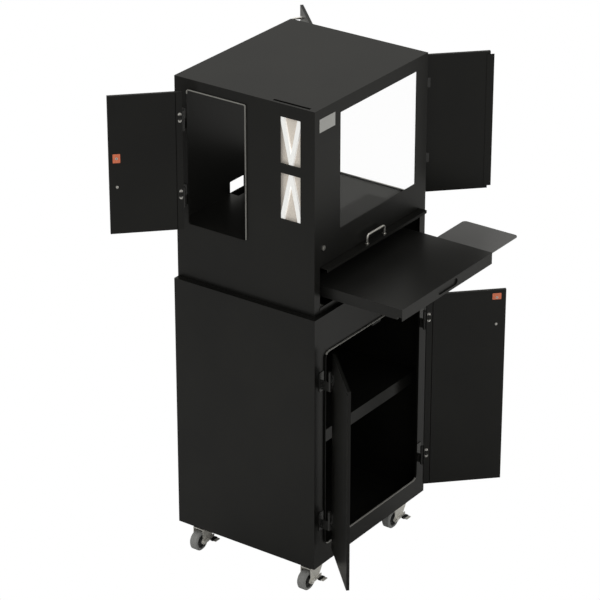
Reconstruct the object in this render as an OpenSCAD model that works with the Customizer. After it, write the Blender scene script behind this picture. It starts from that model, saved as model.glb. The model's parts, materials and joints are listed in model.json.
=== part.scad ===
// Mobile computer and printer cabinet: a lower cupboard on four castors that
// carries an upper equipment cabinet with a window, side doors, a pull-out
// keyboard tray with a mouse tray, and a lift-up flap over the tray opening.
// Origin: on the floor, under the middle of the lower cabinet.
// +X to the right, +Y to the rear, +Z up. Millimetres.
// The model stands with its doors, flap and trays open, as they are at joint value 0.

/* [Lower cabinet] */
// Width of the lower cabinet
low_w = 640; // [600:1:700]
// Depth of the lower cabinet
low_d = 547; // [520:1:600]
// Height of the lower cabinet body
low_h = 889; // [840:1:940]
// Sheet thickness of both cabinets
sheet = 1.5; // [1.2:0.1:2]
// Half width of the lower door opening, to the outside of its lip
low_open_half = 268; // [258:1:272]
// Height of the lower door opening's lower lip above the cabinet's base
low_open_bottom = 69; // [60:1:90]
// Height of the lower door opening
low_open_h = 692; // [640:1:700]
// Corner radius of the lower door opening
low_open_r = 22; // [10:1:40]
// Corner radius of the upper door openings
open_r = 6; // [4:1:10]
// How far the formed lip stands out round each door opening
lip_out = 6; // [4:0.5:8]

/* [Lower shelf] */
// Height of the shelf's top above the cabinet's base
shelf_z = 447; // [380:1:500]
// Height of the shelf's front and rear edges
shelf_edge = 43; // [25:1:60]
// Distance of the shelf from the cabinet's front
shelf_setback = 39; // [30:1:70]

/* [Upper cabinet] */
// Step in from the lower cabinet's left side
up_inset_left = 20.5; // [10:0.5:30]
// Step in from the lower cabinet's front
up_inset_front = 16; // [8:1:20]
// Height of the upper cabinet
up_h = 683.5; // [670:0.5:720]
// Height of the equipment floor's top above the upper cabinet's base
floor_z = 187; // [180:1:190]
// Height of the left opening's lower lip above the upper cabinet's base
left_open_bottom = 195; // [190:1:205]
// Height of the left door opening
left_open_h = 454; // [420:1:462]
// Height of the right opening's lower lip above the upper cabinet's base
right_open_bottom = 189; // [188:1:205]
// Height of the right door opening
right_open_h = 464; // [420:1:468]
// Front edge of the left opening, from the middle of the lower cabinet
left_open_front = -1; // [-10:1:5]
// Width of the left opening, to the outside of its lip
left_open_w = 225; // [200:1:230]
// Width of the right opening, to the outside of its lip
right_open_w = 438; // [410:1:440]
// Middle of the right opening, from the middle of the lower cabinet
right_open_mid = -4; // [-8:1:4]

/* [Window] */
// Window opening width
win_w = 420; // [380:1:430]
// Window opening height
win_h = 385; // [340:1:390]
// Window opening's left edge, from the upper cabinet's left side
win_left = 136.5; // [130:0.5:142]
// Window opening's top, below the upper cabinet's top
win_top = 44; // [40:1:50]
// Pane thickness
pane_t = 5; // [3:0.5:6]
// Overlap of the pane behind the window's edge
pane_lap = 15; // [10:1:18]
// Pane seal thickness
pane_seal_t = 1.5; // [1:0.1:2]

/* [Filters] */
// Filter cut-out width
filter_w = 74; // [60:1:76]
// Filter cut-out height
filter_h = 152; // [140:1:152]
// Strip between the two cut-outs
filter_gap = 32.5; // [30:0.5:45]
// Filter cut-outs' front edge, behind the upper cabinet's front
filter_front = 53; // [50:1:56]
// Top of the upper filter cut-out, below the cabinet's top
filter_top = 42; // [38:1:50]
// Filter media thickness
filter_t = 8; // [6:0.5:9]
// Length of the loading slot in the roof
slot_l = 137; // [120:1:140]
// Width of the loading slot in the roof
slot_w = 10.5; // [10:0.5:12]

/* [Doors] */
// Distance of the hinge pins from the cabinet's face
pin_out = 23.5; // [23.5:0.5:26]
// Distance from the hinge pin to the opening's lip, along the face
pin_to_lip = 2; // [1.5:0.5:4]
// Door thickness
door_t = 10.5; // [8:0.5:10.5]
// Distance from the hinge pin to the door's edge
pin_to_door = 2.5; // [2:0.5:4]
// Door opening angle that is shown
door_open = 135; // [90:1:150]
// Overlap of a door past the lip at top and bottom
door_lap = 4; // [3:0.5:5]
// Width of the left side door
left_door_w = 234.5; // [228:0.5:236]
// Gap between the two lower doors
low_gap = 8; // [3:0.5:9]
// Gap between the two doors on the right
right_gap = 3; // [2:0.5:5]
// Width of the overlap strip on a pair's first door
astragal = 12; // [6:1:14]
// Height of one hinge
hinge_h = 66; // [50:1:80]
// Radius of the hinge knuckle
knuckle_r = 6; // [5.5:0.1:6.5]
// Radius of the hinge pin
pin_r = 3; // [2:0.1:3.5]

/* [Handles] */
// Distance between the feet of a handle
handle_c = 96; // [80:1:128]
// Height of a handle's bar above the door
handle_out = 34; // [28:1:40]
// Radius of a handle's rod
handle_r = 4; // [3:0.1:4.5]

/* [Keyboard tray] */
// Width of the keyboard tray
tray_w = 514; // [480:1:516]
// Depth of the keyboard tray
tray_d = 350; // [320:1:380]
// Height of the tray's top above the upper cabinet's base
tray_z = 87; // [84:1:90]
// How far the tray's front stands out of the upper cabinet
tray_out = 290; // [270:1:300]
// Height of the tray's front apron
apron_h = 39; // [34:1:42]
// Height of the tray's side skirts
skirt_h = 28; // [24:1:30]
// Width of the mouse tray, to the side
mouse_w = 189; // [170:1:200]
// Depth of the mouse tray, front to rear
mouse_d = 207; // [180:1:220]
// Overlap of the mouse tray under the keyboard tray
mouse_lap = 25; // [16:1:40]

/* [Tray opening and flap] */
// Width of the tray opening
drawer_w = 560; // [550:1:566]
// Height of the tray opening's lower edge above the upper cabinet's base
drawer_bottom = 22; // [18:1:26]
// Height of the tray opening
drawer_h = 138; // [136:1:142]
// Distance from the flap's pivot to its free edge
flap_h = 62; // [56:1:63]
// How far the open flap stands out of the cabinet
flap_out = 27; // [20:1:30]

/* [Castors] */
// Overall height of a castor
castor_h = 91; // [86:1:100]
// Wheel radius
wheel_r = 33.5; // [31:0.5:36]
// Wheel width
wheel_w = 30; // [26:1:32]
// Distance of the wheel's axle behind the swivel axis
castor_trail = 59; // [50:1:62]
// Distance of the swivel axes from the cabinet's sides
castor_side = 75; // [70:1:90]
// Distance of the front swivel axes from the cabinet's front
castor_front = 43; // [42:1:60]
// Distance of the rear swivel axes from the cabinet's rear
castor_rear = 69; // [60:1:80]
// Height of the castors' fixing plate and bearing
castor_head = 12; // [11:1:14]
// Reach of the brake lever from the axle
lever_l = 54; // [44:1:58]
// How far the brake lever's foot tab stands out to the front
tab_out = 26; // [16:1:30]

/* [Hidden] */

$fn = 48;
e = 0.01;          // how far a cutter reaches past a face
run = 0.05;        // radial running clearance of a pin in its bore
seat = 0.02;       // radial clearance of a fixed fit
soft = 0.3;        // gap between bodies that only come close
black = "#232322";
bright = "#c8c6c0";

// Faces of the lower cabinet.
low_x = low_w / 2;
low_front = -low_d / 2;
low_rear = low_d / 2;
low_z = castor_h;
low_top = low_z + low_h;

// Faces of the upper cabinet, which stands flush at the right and at the rear.
up_left = -low_x + up_inset_left;
up_right = low_x;
up_front = low_front + up_inset_front;
up_rear = low_rear;
up_mid = (up_left + up_right) / 2;
up_z = low_top;
up_top = up_z + up_h;
floor_top = up_z + floor_z;

// Door openings: lowest and highest edge of each lip.
low_open_z0 = low_z + low_open_bottom;
low_open_z1 = low_open_z0 + low_open_h;
left_open_z0 = up_z + left_open_bottom;
left_open_z1 = left_open_z0 + left_open_h;
right_open_z0 = up_z + right_open_bottom;
right_open_z1 = right_open_z0 + right_open_h;
left_open_rear = left_open_front + left_open_w;
right_open_front = right_open_mid - right_open_w / 2;
right_open_rear = right_open_mid + right_open_w / 2;

// Door widths, from the pin to the free edge. A pair shares the space between its pins.
low_pin_x = low_open_half + pin_to_lip;
left_pin_y = left_open_rear + pin_to_lip;
front_pin_y = right_open_front - pin_to_lip;
rear_pin_y = right_open_rear + pin_to_lip;
low_door_w = low_pin_x - low_gap / 2;
right_door_w = (rear_pin_y - front_pin_y - right_gap) / 2;
low_door_z0 = low_open_z0 - door_lap;
low_door_z1 = low_open_z1 + door_lap;
left_door_z0 = left_open_z0 - door_lap;
left_door_z1 = left_open_z1 + door_lap;
right_door_z0 = right_open_z0 - door_lap;
right_door_z1 = right_open_z1 + door_lap;

// A door's own frame: x runs from its pin to its free edge, y out of the cabinet.
door_gap = 0.5;                      // from the lip's edge to the door's inner face
door_in = lip_out + door_gap;        // door's inner face
door_skin = door_in + door_t;        // door's outer face
hinge_plate_t = 2.5;                 // thickness of a hinge's plates
hinge_plate_w = 25;                  // reach of a hinge's plates from the pin
web_in = 3;                          // bracket web's near face, from the pin
hinge_lip = 22;                      // width of the door's inner lip at the hinges
lower_lip = 7;                       // width of the lower doors' inner lip at the top
groove = 2;                          // gap between the hinge lip and the door's inner panel
liner_play = 0.3;                    // gap round the door's inner panel
bolt_in = 14.5;                      // bracket bolts' distance from the pin
leaf_bolt_in = 10.5;                 // leaf bolts' distance from the pin
leaf_bolt_z = 8.5;                   // leaf bolts' distance from the leaf's middle
bolt_r = 2.5;                        // hinge bolt's shank radius
bolt_head_r = 4.6;                   // hinge bolt's domed head radius
bolt_head_h = 2.5;                   // height of the domed head
pin_head_h = 1.5;                    // height of a hinge pin's head
low_hinges = [low_door_z0 + 68, low_door_z1 - 65 - hinge_h];
left_hinges = [left_door_z0 + 70, left_door_z1 - 68 - hinge_h];
right_hinges = [right_door_z0 + 72, right_door_z1 - 76 - hinge_h];

// Handle places, from the pin and from the door's top.
handle_foot_r = 7;
left_handle_u = left_door_w - 24.5;
low_handle_u = low_door_w - 31;
right_handle_u = right_door_w - 23.5;
low_handle_z = low_door_z1 - 27 - handle_c;
rear_handle_z = right_door_z1 - 38 - handle_c;
left_handle_z = (left_door_z0 + left_door_z1 - handle_c) / 2 - 24.5;
screw_r = 2;                         // handle screw's shank radius
screw_head_r = 4;
screw_head_h = 2;

// Tray opening, flap and trays.
drawer_z0 = up_z + drawer_bottom;
drawer_z1 = drawer_z0 + drawer_h;
drawer_lip = 10;                     // height of the formed lip under the tray opening
tray_top = up_z + tray_z;
tray_front = up_front - tray_out;
tray_rear = tray_front + tray_d;
tray_left = up_mid - tray_w / 2;
tray_right = up_mid + tray_w / 2;
runner_t = 10;                       // thickness of the tray's runner bars
runner_h = 20;                       // height of the tray's runner bars
runner_z = tray_top - apron_h + 1;   // bottom of the runner bars
runner_back = 100;                   // runner bars' reach behind the tray
runner_in = 20;                      // runner bars' start behind the tray's front
rail_front = 6;                      // rails' distance behind the cabinet's front
rail_l = 400;                        // rails' length
rail_gap = 0.25;                     // sliding gap between a runner and its rail
rail_foot = 40;                      // length of a rail's leg along the rail
foot_in = 20;                        // legs' distance from the rail's ends

flap_top = drawer_z1 - 1;            // upper face of the open flap
flap_t = 10;                         // depth of the flap's folded edges
pivot_drop = 5;                      // pivot below the flap's upper face
pivot_z = flap_top - pivot_drop;
pivot_y = up_front - flap_out + flap_h;
flap_inset = 2.5;                    // closed flap's distance behind the cabinet's front
flap_slide = pivot_y - up_front - pivot_drop - flap_inset;  // travel from open to closed
flap_half = drawer_w / 2 - 2;        // half width of the flap
rod_r = 3;                           // radius of the flap's pivot rod
track_t = 3;                         // thickness of the flap's track plates
track_in = 4;                        // tracks' distance outside the opening
lug_w = 6;                           // width of the flap's pivot lugs

mouse_t = 3;                         // mouse tray's plate thickness
mouse_top = tray_top - sheet - 0.5;  // mouse tray's upper face
mouse_left = tray_right - mouse_lap;
mouse_right = mouse_left + mouse_w;
mouse_front = tray_front + 3;
mouse_r = 14;                        // mouse tray's corner radius
arm_w = 12;                          // width of the mouse tray's two arms
arm_l = 150;                         // length of the arms, behind the plate
arm_in = 14;                         // arms' distance from the plate's front and rear
arm_h = 6;                           // height of the arms, under the plate
mouse_travel = 150;                  // how far the mouse tray slides in
guide_gap = 0.3;                     // sliding gap between an arm and its guide
guide_t = 2;                         // guides' sheet thickness
arm_z = mouse_top - mouse_t - arm_h; // underside of the arms

// Castors, in a castor's own frame: the swivel axis at x 0, the wheel trailing to -x.
plate_w = 90;
plate_d = 66;
plate_t = 2.5;
cup_r = 21;                          // radius of the bearing cup
kingpin_r = 6;
crown_t = 3;
cup_z = castor_h - castor_head;      // underside of the bearing cup
crown_z = cup_z - soft - crown_t;    // underside of the fork's crown
fork_gap = 3;                        // gap between the wheel and the fork's sides
fork_t = 2.5;
fork_half = wheel_w / 2 + fork_gap + fork_t;  // fork's outer faces, from the wheel's middle
fork_front = 11;                     // fork's top reaches this far ahead of the axis
fork_back = castor_trail + 3;        // and this far behind it
axle_r = 4;
rim_r = wheel_r - 9;                 // inner radius of the tyre
lever_t = 2.5;
lever_w = 13;                        // width of the lever round the axle
tab_l = 24;                          // length of the lever's foot tab
castor_xl = -low_x + castor_side;
castor_xr = low_x - castor_side;
castor_yf = low_front + castor_front;
castor_yr = low_rear - castor_rear;

// ---------- shared shapes ----------

// A box from one corner to the other.
module span(a, b) {
    translate(a) cube(b - a);
}

// A flat rectangle in x and y with round corners.
module plate2d(x0, y0, x1, y1, r) {
    difference() {
        translate([x0, y0]) square([x1 - x0, y1 - y0]);
        corner_cut(x0, y0, 0, r);
        corner_cut(x1, y0, 90, r);
        corner_cut(x1, y1, 180, r);
        corner_cut(x0, y1, 270, r);
    }
}

// What a rounded corner takes away from a square one.
module corner_cut(x, y, turn, r) {
    translate([x, y]) rotate(turn) difference() {
        translate([-1, -1]) square(r + 1);
        translate([r, r]) circle(r);
    }
}

// A plate that stands in the xz plane, from y0 to y1.
module wall_plate(x0, z0, x1, z1, y0, y1, r) {
    translate([0, y1, 0]) rotate([90, 0, 0]) linear_extrude(y1 - y0) plate2d(x0, z0, x1, z1, r);
}

// A formed lip round an opening that stands in the xz plane.
module lip_ring(x0, z0, x1, z1, y0, y1, r) {
    difference() {
        wall_plate(x0, z0, x1, z1, y0, y1, r);
        opening_cut(x0, z0, x1, z1, y0 - 1, y1 + 1, r);
    }
}

// The clear space inside such a lip.
module opening_cut(x0, z0, x1, z1, y0, y1, r) {
    wall_plate(x0 + sheet, z0 + sheet, x1 - sheet, z1 - sheet, y0, y1, r - sheet);
}

// Turns a shape drawn against the front so that it lies against the left or right side.
module on_left() {
    translate([up_left, 0, 0]) rotate([0, 0, -90]) children();
}
module on_right() {
    translate([up_right, 0, 0]) rotate([0, 0, 90]) children();
}

// A domed head on a plane, pointing up.
module dome(r, h) {
    intersection() {
        cylinder(r = r, h = h);
        translate([0, 0, h - (r * r + h * h) / (2 * h)]) sphere((r * r + h * h) / (2 * h), $fn = 64);
    }
}

// ---------- cabinet shells ----------

module lower_shell() {
    color(black) difference() {
        union() {
            difference() {
                span([-low_x, low_front, low_z], [low_x, low_rear, low_top]);
                span([-low_x + sheet, low_front + sheet, low_z + sheet],
                    [low_x - sheet, low_rear - sheet, low_top - sheet]);
            }
            lip_ring(-low_open_half, low_open_z0, low_open_half, low_open_z1,
                low_front - lip_out, low_front + e, low_open_r);
        }
        opening_cut(-low_open_half, low_open_z0, low_open_half, low_open_z1,
            low_front - lip_out - 1, low_front + sheet + 1, low_open_r);
        bracket_holes();
    }
    color(black) catch_tab();
}

// Tab that hangs inside the lower opening's upper edge, for the door catch.
module catch_tab() {
    span([2, low_front + sheet - e, low_open_z1 - sheet - 14],
        [48, low_front + 2 * sheet, low_open_z1 + 12]);
}

// Bolt holes of the lower hinge brackets.
module bracket_holes() {
    for (s = [-1, 1], z = low_hinges)
        translate([s * (low_pin_x + bolt_in), low_front, z + hinge_h / 4])
            rotate([90, 0, 0]) cylinder(r = bolt_r, h = 4 * sheet, center = true);
}

// Box of folded sheet, open at the front inside its edges, where the front panel sits.
module upper_shell() {
    color(black) difference() {
        union() {
            difference() {
                span([up_left, up_front, up_z], [up_right, up_rear, up_top]);
                span([up_left + sheet, up_front - 1, up_z + sheet],
                    [up_right - sheet, up_rear - sheet, up_top - sheet]);
            }
            on_left() lip_ring(-left_open_rear, left_open_z0, -left_open_front, left_open_z1,
                -lip_out, e, open_r);
            on_right() lip_ring(right_open_front, right_open_z0, right_open_rear, right_open_z1,
                -lip_out, e, open_r);
        }
        on_left() opening_cut(-left_open_rear, left_open_z0, -left_open_front, left_open_z1,
            -lip_out - 1, sheet + 1, open_r);
        on_right() opening_cut(right_open_front, right_open_z0, right_open_rear, right_open_z1,
            -lip_out - 1, sheet + 1, open_r);
        for (z = [filter_z0, filter_z1])
            span([up_left - 1, filter_y0, z], [up_left + sheet + 1, filter_y0 + filter_w, z + filter_h]);
        span([slot_x - slot_w / 2, slot_y - slot_l / 2, up_top - sheet - 1],
            [slot_x + slot_w / 2, slot_y + slot_l / 2, up_top + 1]);
        span([cable_x0, up_rear - sheet - 1, floor_top + 1],
            [cable_x0 + cable_w, up_rear + 1, floor_top + 1 + cable_h]);
        on_left() translate([-left_pin_y - bolt_in, 0, 0]) side_bracket_holes(left_hinges);
        on_right() for (y = [front_pin_y - bolt_in, rear_pin_y + bolt_in])
            translate([y, 0, 0]) side_bracket_holes(right_hinges);
    }
}

module side_bracket_holes(hinges) {
    for (z = hinges)
        translate([0, 0, z + hinge_h / 4]) rotate([90, 0, 0])
            cylinder(r = bolt_r, h = 4 * sheet, center = true);
}

// Front sheet with the window, the tray opening and the lock's hole.
module front_panel() {
    color(black) difference() {
        union() {
            span([up_left + sheet, up_front, up_z + sheet],
                [up_right - sheet, up_front + sheet, up_top - sheet]);
            span([up_mid - drawer_w / 2 - sheet, up_front - sheet, drawer_z0 - drawer_lip],
                [up_mid + drawer_w / 2 + sheet, up_front + e, drawer_z0]);
        }
        wall_plate(win_x0, win_z0, win_x1, win_z1, up_front - 1, up_front + sheet + 1, win_r);
        span([up_mid - drawer_w / 2, up_front - 1, drawer_z0],
            [up_mid + drawer_w / 2, up_front + sheet + 1, drawer_z1]);
        translate([lock_x, up_front, lock_z]) rotate([90, 0, 0])
            cylinder(r = barrel_r + seat, h = 4 * sheet, center = true);
    }
}

// Window, filter, slot, cable and lock places.
win_r = 2;                           // corner radius of the window, its seal and its pane
win_x0 = up_left + win_left;
win_x1 = win_x0 + win_w;
win_z1 = up_top - win_top;
win_z0 = win_z1 - win_h;
filter_y0 = up_front + filter_front;
filter_z1 = up_top - filter_top - filter_h;
filter_z0 = filter_z1 - filter_gap - filter_h;
slot_x = up_left + 14;
slot_y = filter_y0 + filter_w / 2 + 4;
cable_w = 74.5;
cable_h = 38;
cable_x0 = -20.5;
cable_d = 34;
lock_x = up_left + 46.5;
lock_z = drawer_z1 + 61;
barrel_r = 6.5;
plug_r = 4.5;
barrel_l = 16;

floor_hem = 12;                      // height of the floor's folded edge

module equipment_floor() {
    color(black) difference() {
        span([up_left + sheet, up_front + sheet, floor_top - floor_hem],
            [up_right - sheet, up_rear - sheet, floor_top]);
        span([up_left + 2 * sheet, up_front + 2 * sheet, floor_top - floor_hem - 1],
            [up_right - 2 * sheet, up_rear - 2 * sheet, floor_top - sheet]);
        span([cable_x0, up_rear - sheet - cable_d, floor_top - sheet - 1],
            [cable_x0 + cable_w, up_rear, floor_top + 1]);
    }
}

module lower_shelf() {
    z = low_z + shelf_z;
    y0 = low_front + shelf_setback;
    color(black) difference() {
        span([-low_x + sheet + soft, y0, z - shelf_edge], [low_x - sheet - soft, low_rear - sheet, z]);
        span([-low_x, y0 + sheet, z - shelf_edge - 1], [low_x, low_rear - 2 * sheet, z - sheet]);
    }
}

// Angle brackets on the side walls under the shelf.
module shelf_clips() {
    clip_l = 40;
    clip_w = 22;
    clip_t = 2;
    y0 = low_front + shelf_setback + 30;
    y1 = low_rear - clip_l - 50;
    z = low_z + shelf_z - sheet;
    color(bright) for (s = [-1, 1], y = [y0, y1])
        translate([0, y, z]) mirror([s < 0 ? 1 : 0, 0, 0]) {
            span([low_x - sheet - clip_t, 0, -clip_w], [low_x - sheet, clip_l, 0]);
            span([low_x - sheet - clip_w, 0, -clip_t], [low_x - sheet - e, clip_l, 0]);
        }
}

// ---------- window, label, lock, filters ----------

module window_gasket() {
    color("#101010") difference() {
        wall_plate(win_x0 - pane_lap, win_z0 - pane_lap, win_x1 + pane_lap, win_z1 + pane_lap,
            up_front + sheet, up_front + sheet + pane_seal_t, win_r);
        wall_plate(win_x0, win_z0, win_x1, win_z1, up_front, up_front + sheet + pane_seal_t + 1, win_r);
    }
}

module window_pane() {
    y = up_front + sheet + pane_seal_t;
    color("#ffffff20") wall_plate(win_x0 - pane_lap, win_z0 - pane_lap, win_x1 + pane_lap,
        win_z1 + pane_lap, y, y + pane_t, win_r);
}

module label_plate() {
    label_w = 82;
    label_h = 43;
    label_t = 0.8;
    color("#b0afab") span([up_left + 24.5, up_front - label_t, up_top - 32.5 - label_h],
        [up_left + 24.5 + label_w, up_front, up_top - 32.5]);
}

module lock_barrel() {
    color(bright) translate([lock_x, up_front, lock_z]) rotate([90, 0, 0]) difference() {
        union() {
            cylinder(r = 8, h = 3);
            translate([0, 0, -barrel_l]) cylinder(r = barrel_r, h = barrel_l + 1);
            translate([0, 0, -sheet - 4]) cylinder(r = 10, h = 4, $fn = 6);
        }
        translate([0, 0, -barrel_l - 1]) cylinder(r = plug_r + run, h = barrel_l + 6);
    }
}

module lock_plug() {
    cam_l = 26;
    color("#8d8b86") translate([lock_x, up_front, lock_z]) rotate([90, 0, 0]) difference() {
        union() {
            translate([0, 0, -barrel_l - 4]) cylinder(r = plug_r, h = barrel_l + 4 + 3.4);
            translate([-6, -6, -barrel_l - 3]) cube([12, cam_l, 2.5]);
        }
        translate([-0.6, -2.6, 0.4]) cube([1.2, 5.2, 4]);
    }
}

// Folded sheet pocket behind the filter cut-outs, open at the roof slot.
module filter_holder() {
    y0 = slot_y - slot_l / 2;
    y1 = slot_y + slot_l / 2;
    x0 = up_left + sheet;
    x1 = slot_x + slot_w / 2 + sheet;
    z0 = filter_z0 - 16;
    color(black) difference() {
        span([x0, y0 - sheet, z0 - sheet], [x1, y1 + sheet, up_top - sheet]);
        span([x0 - 1, y0, z0], [x1 - sheet, y1, up_top]);
        for (z = [filter_z0, filter_z1])
            span([x0, filter_y0, z], [x1 + 1, filter_y0 + filter_w, z + filter_h]);
    }
}

module filter_pads() {
    pad_h = filter_h + filter_gap - 8;
    x0 = slot_x - filter_t / 2;
    color("#dcd3c8") for (z = [filter_z0 - 16, filter_z0 - 16 + pad_h + soft])
        span([x0, slot_y - slot_l / 2 + soft, z], [x0 + filter_t, slot_y + slot_l / 2 - soft, z + pad_h]);
}

// V-shaped bands that hold each pad away from the cut-out.
module filter_retainers() {
    stroke = 16;
    color("#f4f4f2") {
        retainer(filter_z1, stroke, 1);
        retainer(filter_z0, stroke, -1);
    }
}

module retainer(z, stroke, way) {
    half = filter_w / 2 + 5;
    depth = slot_x - filter_t / 2 - up_left - sheet - soft;
    translate([up_left + sheet, filter_y0 + filter_w / 2, z + filter_h / 2])
        mirror([0, 0, way < 0 ? 1 : 0]) rotate([90, 0, 90]) linear_extrude(depth)
        polygon([[-half, filter_h / 2 + 4], [-half + stroke, filter_h / 2 + 4],
            [0, -filter_h / 2 + 34], [half - stroke, filter_h / 2 + 4], [half, filter_h / 2 + 4],
            [6, -filter_h / 2 - 3], [-6, -filter_h / 2 - 3]]);
}

// ---------- hinges ----------

// Puts a shape drawn in a door's own frame on its pin.
// face: turn of the cabinet face; hand: -1 mirrors; angle: how far the door stands open.
module at_pin(x, y, face, hand, angle) {
    translate([x, y, 0]) rotate([0, 0, face]) mirror([hand < 0 ? 1 : 0, 0, 0])
        translate([0, pin_out, 0]) rotate([0, 0, angle]) translate([0, -pin_out, 0]) children();
}
module at_lower_left(angle) at_pin(-low_pin_x, low_front, 180, -1, angle) children();
module at_lower_right(angle) at_pin(low_pin_x, low_front, 180, 1, angle) children();
module at_upper_left(angle) at_pin(up_left, left_pin_y, 90, -1, angle) children();
module at_upper_front(angle) at_pin(up_right, front_pin_y, -90, -1, angle) children();
module at_upper_rear(angle) at_pin(up_right, rear_pin_y, -90, 1, angle) children();

module hinge_brackets() {
    color(black) {
        for (z = low_hinges) {
            at_lower_left(0) bracket(z);
            at_lower_right(0) bracket(z);
        }
        for (z = left_hinges) at_upper_left(0) bracket(z);
        for (z = right_hinges) {
            at_upper_front(0) bracket(z);
            at_upper_rear(0) bracket(z);
        }
    }
}

// Cabinet half of a hinge: foot on the face, web, and the lower knuckle.
module bracket(z) {
    h = hinge_h / 2 - soft / 2;
    translate([0, 0, z]) difference() {
        union() {
            span([-hinge_plate_w - 1, 0, 0], [-web_in, hinge_plate_t, hinge_h]);
            span([-web_in - 3, 0, 0], [-web_in, pin_out, h]);
            translate([0, pin_out, 0]) cylinder(r = knuckle_r, h = h);
            translate([-bolt_in, hinge_plate_t - e, hinge_h / 4]) rotate([-90, 0, 0]) dome(4.5, 2);
            translate([-bolt_in, 0, hinge_h / 4]) rotate([90, 0, 0]) cylinder(r = bolt_r - run, h = 8);
        }
        translate([0, pin_out, -1]) cylinder(r = pin_r + seat, h = h + 2);
    }
}

module hinge_pins() {
    color(bright) {
        for (z = low_hinges) {
            at_lower_left(0) hinge_pin(z);
            at_lower_right(0) hinge_pin(z);
        }
        for (z = left_hinges) at_upper_left(0) hinge_pin(z);
        for (z = right_hinges) {
            at_upper_front(0) hinge_pin(z);
            at_upper_rear(0) hinge_pin(z);
        }
    }
}

module hinge_pin(z) {
    translate([0, pin_out, z]) {
        cylinder(r = pin_r, h = hinge_h);
        translate([0, 0, hinge_h + soft]) cylinder(r = pin_r + 1.5, h = pin_head_h);
        translate([0, 0, hinge_h - e]) cylinder(r = pin_r, h = soft + 2 * e);
        translate([0, 0, -pin_head_h]) cylinder(r = pin_r + 1.5, h = pin_head_h + e);
    }
}

// Heights of a leaf's two bolts above its hinge's foot.
function leaf_bolts() = [for (s = [-1, 1]) hinge_h * 3 / 4 + soft / 4 + s * leaf_bolt_z];

// Door half of a hinge: plate on the skin, upper knuckle, and the two domed bolts.
module hinge_leaf(z) {
    h = hinge_h / 2 - soft / 2;
    zm = hinge_h - h;
    translate([0, 0, z]) difference() {
        union() {
            translate([0, pin_out, zm]) cylinder(r = knuckle_r, h = h);
            span([0, door_skin, zm], [hinge_plate_w, door_skin + hinge_plate_t, h + zm]);
            for (b = leaf_bolts()) translate([leaf_bolt_in, 0, b]) hinge_bolt();
        }
        translate([0, pin_out, zm - 1]) cylinder(r = pin_r + run, h = h + 2);
    }
}

module hinge_bolt() {
    translate([0, door_skin + e, 0]) rotate([90, 0, 0]) cylinder(r = bolt_r, h = door_t + 2 * e);
    translate([0, door_in, 0]) rotate([90, 0, 0]) dome(bolt_head_r, bolt_head_h);
}

// ---------- doors ----------

// Folded sheet pan of a door: outer skin, edges, and inner lips along the hinges and,
// top wide, along the top. strip adds the overlap strip at its free edge.
module door_pan(w, z0, z1, hinges, strip, top = sheet) {
    difference() {
        span([pin_to_door, door_in, z0], [w, door_skin, z1]);
        span([pin_to_door + sheet, door_in + sheet, z0 + sheet],
            [w - sheet, door_skin - sheet, z1 - sheet]);
        span([hinge_lip, door_in - 1, z0 + sheet], [w - sheet, door_skin - sheet, z1 - top]);
        for (z = hinges, b = leaf_bolts())
            translate([leaf_bolt_in, 0, z + b]) rotate([-90, 0, 0]) cylinder(r = bolt_r, h = 2 * pin_out);
        children();
    }
    if (strip) {
        span([w - astragal, door_skin - e, z0 + 9], [w, door_skin + sheet + soft, z1 - 9]);
        span([w - e, door_skin + soft, z0 + 9], [w + astragal, door_skin + sheet + soft, z1 - 9]);
    }
}

// Inner panel that closes the pan, flush with its edges, and folded out to its skin.
module door_liner(w, z0, z1, top = sheet) {
    u0 = hinge_lip + groove;
    u1 = w - sheet - liner_play;
    zl = z0 + sheet + liner_play;
    zh = z1 - top - liner_play;
    difference() {
        span([u0, door_in, zl], [u1, door_skin - sheet, zh]);
        span([u0 + sheet, door_in + sheet, zl + sheet], [u1 - sheet, door_skin, zh - sheet]);
        children();
    }
}

// Holes through a door for a handle's two screws.
module handle_holes(u, z) {
    for (f = [0, 1]) translate([u, door_in - 1, z + f * handle_c]) rotate([-90, 0, 0])
        cylinder(r = screw_r + 0.1, h = door_t + 2);
}

// D-shaped handle on two feet, with its upper foot handle_c above z and its screws
// through a wall of the thickness wall.
module d_handle(u, z, wall) {
    bend = 10;
    reach = handle_out - handle_r;
    translate([u, door_skin, z]) {
        for (f = [0, 1]) translate([0, 0, f * handle_c]) rotate([-90, 0, 0]) {
            cylinder(r = handle_foot_r, h = 2);
            cylinder(r = handle_r, h = reach - bend + e);
            translate([0, 0, -wall - screw_head_h]) cylinder(r = screw_head_r, h = screw_head_h);
            translate([0, 0, -wall - e]) cylinder(r = screw_r, h = wall + 1);
        }
        translate([0, reach, bend - e]) cylinder(r = handle_r, h = handle_c - 2 * bend + 2 * e);
        translate([0, reach - bend, bend]) rotate([0, 90, 0]) handle_bend(bend);
        translate([0, reach - bend, handle_c - bend]) mirror([0, 0, 1]) rotate([0, 90, 0])
            handle_bend(bend);
    }
}

// Quarter bend from the foot to the bar.
module handle_bend(bend) {
    rotate_extrude(angle = 90) translate([bend, 0]) circle(handle_r, $fn = 24);
}

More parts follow.
